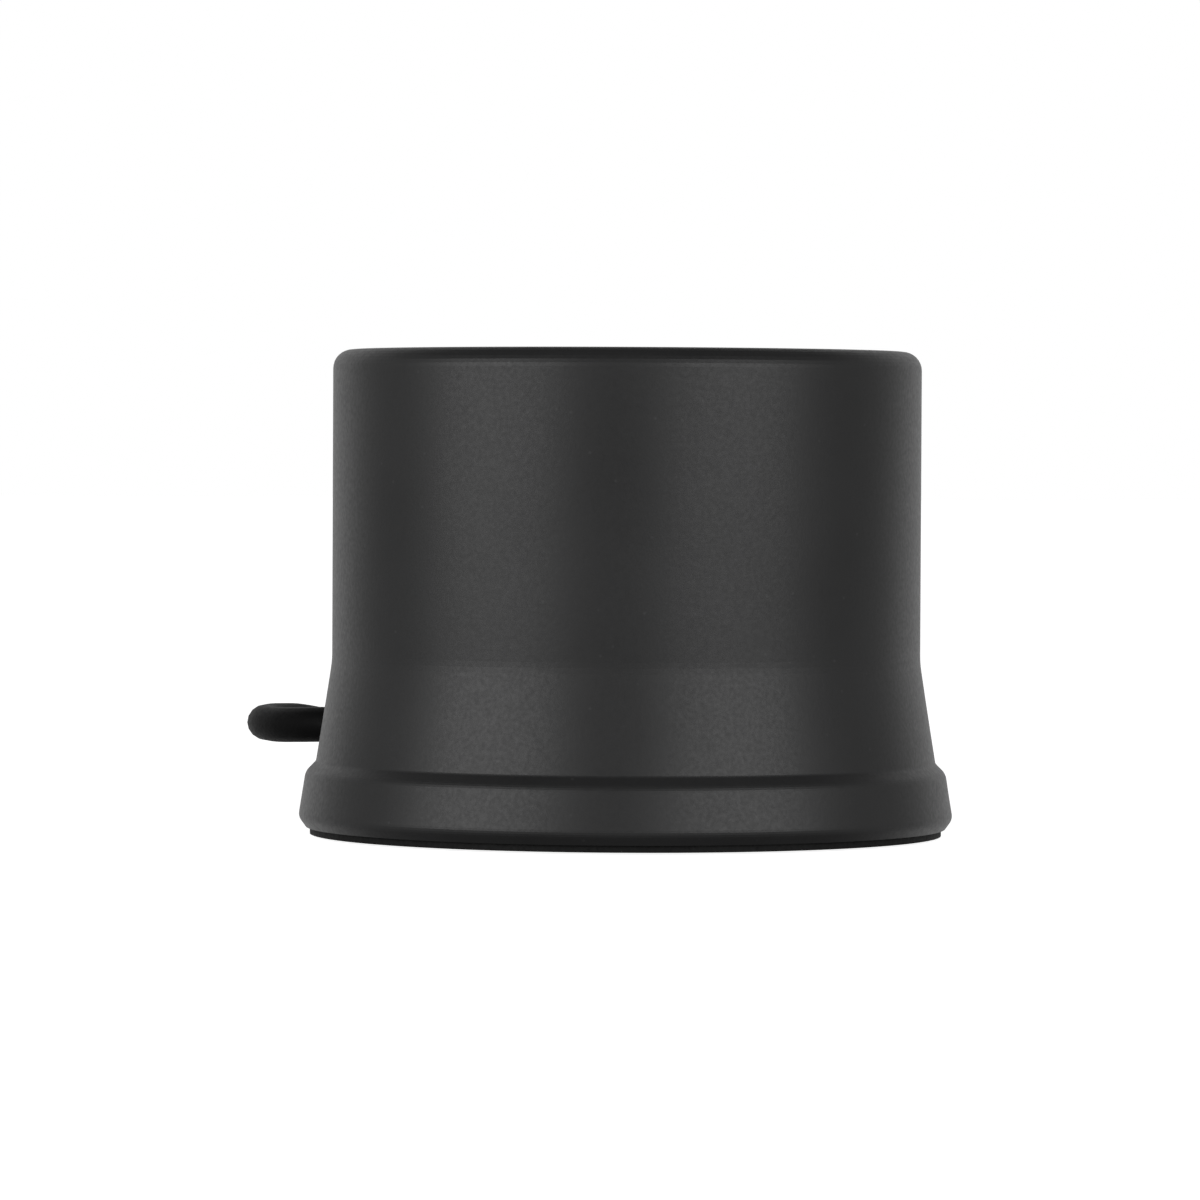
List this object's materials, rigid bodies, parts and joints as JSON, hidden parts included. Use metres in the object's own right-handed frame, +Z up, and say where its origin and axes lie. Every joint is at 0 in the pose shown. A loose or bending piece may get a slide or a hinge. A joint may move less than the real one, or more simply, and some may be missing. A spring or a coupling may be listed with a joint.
{
  "type": "anemometer sensor body",
  "caption": "Drum-shaped body of a cup anemometer with its rotor off: spindle on ball bearings in a top well, flared skirt, optical pickup, foot pad and a coiled lead with a plug.",
  "frame": {"origin": "centre of the foot pad's underside", "axes": "+Z up along the spindle, +X to the right seen from the front, +Y to the back"},
  "size_m": [0.1035, 0.2261, 0.069],
  "materials": {
    "housing_black": "satin black anodised, fine bead blast",
    "plate_black": "black anodised, turned",
    "stainless": "ground stainless steel",
    "spring_steel": "spring steel, lightly oiled",
    "bearing_steel": "polished bearing steel",
    "black_steel": "blackened steel",
    "cage_brass": "machined brass",
    "plated_brass": "nickel-plated brass, knurled",
    "gold_pins": "gold-plated brass",
    "moulded_black": "moulded black plastic",
    "board_green": "green solder mask",
    "terminal_green": "moulded green plastic",
    "board_ceramic": "chip parts",
    "tin_can": "drawn aluminium can",
    "wire_brown": "insulated wires",
    "seal_rubber": "black rubber",
    "pad_rubber": "black cellular rubber",
    "lead_jacket": "matt black lead jacket",
    "strap_fabric": "woven hook-and-loop strap"
  },
  "bodies": {
    "body": {"housing": "housing_black", "bearing_carrier": "housing_black", "carrier_seal": "seal_rubber", "carrier_screws": "black_steel", "upper_outer_ring": "bearing_steel", "upper_shields": "spring_steel", "lower_outer_ring": "bearing_steel", "lower_shields": "spring_steel", "preload_washer": "spring_steel", "bearing_circlip": "spring_steel", "optical_pickup": "moulded_black", "circuit_board": "board_green", "board_chip": "moulded_black", "board_capacitor": "tin_can", "board_resistors": "board_ceramic", "board_standoffs": "cage_brass", "board_screws": "stainless", "terminal_block": "terminal_green", "terminal_screws": "stainless", "lead_wires": "wire_brown", "base_plate": "plate_black", "base_seal": "seal_rubber", "base_screws": "stainless", "foot_pad": "pad_rubber", "strain_relief": "moulded_black", "lead_tail": "lead_jacket", "crimp_ring": "stainless", "lead": "lead_jacket", "lead_coil": "lead_jacket", "coil_tie": "strap_fabric", "plug_body": "moulded_black", "plug_insert": "moulded_black", "plug_pins": "gold_pins"},
    "spindle": {"spindle": "stainless", "rain_slinger": "moulded_black", "spindle_circlip": "spring_steel", "upper_inner_ring": "bearing_steel", "upper_cage": "cage_brass", "upper_balls": "bearing_steel", "lower_inner_ring": "bearing_steel", "lower_cage": "cage_brass", "lower_balls": "bearing_steel", "slotted_disc": "spring_steel", "disc_hub": "cage_brass", "hub_grub_screw": "black_steel"},
    "plug_ring": {"plug_ring": "plated_brass"}
  },
  "joints": [
    {"name": "spindle_spin", "type": "hinge", "parent": "body", "child": "spindle", "pos_m": [0, 0, 0.05], "axis": [0, 0, 1], "continuous": true},
    {"name": "plug_ring_spin", "type": "hinge", "parent": "body", "child": "plug_ring", "pos_m": [-0.042, 0.169, 0.0073], "axis": [0, 1, 0], "continuous": true}
  ]
}
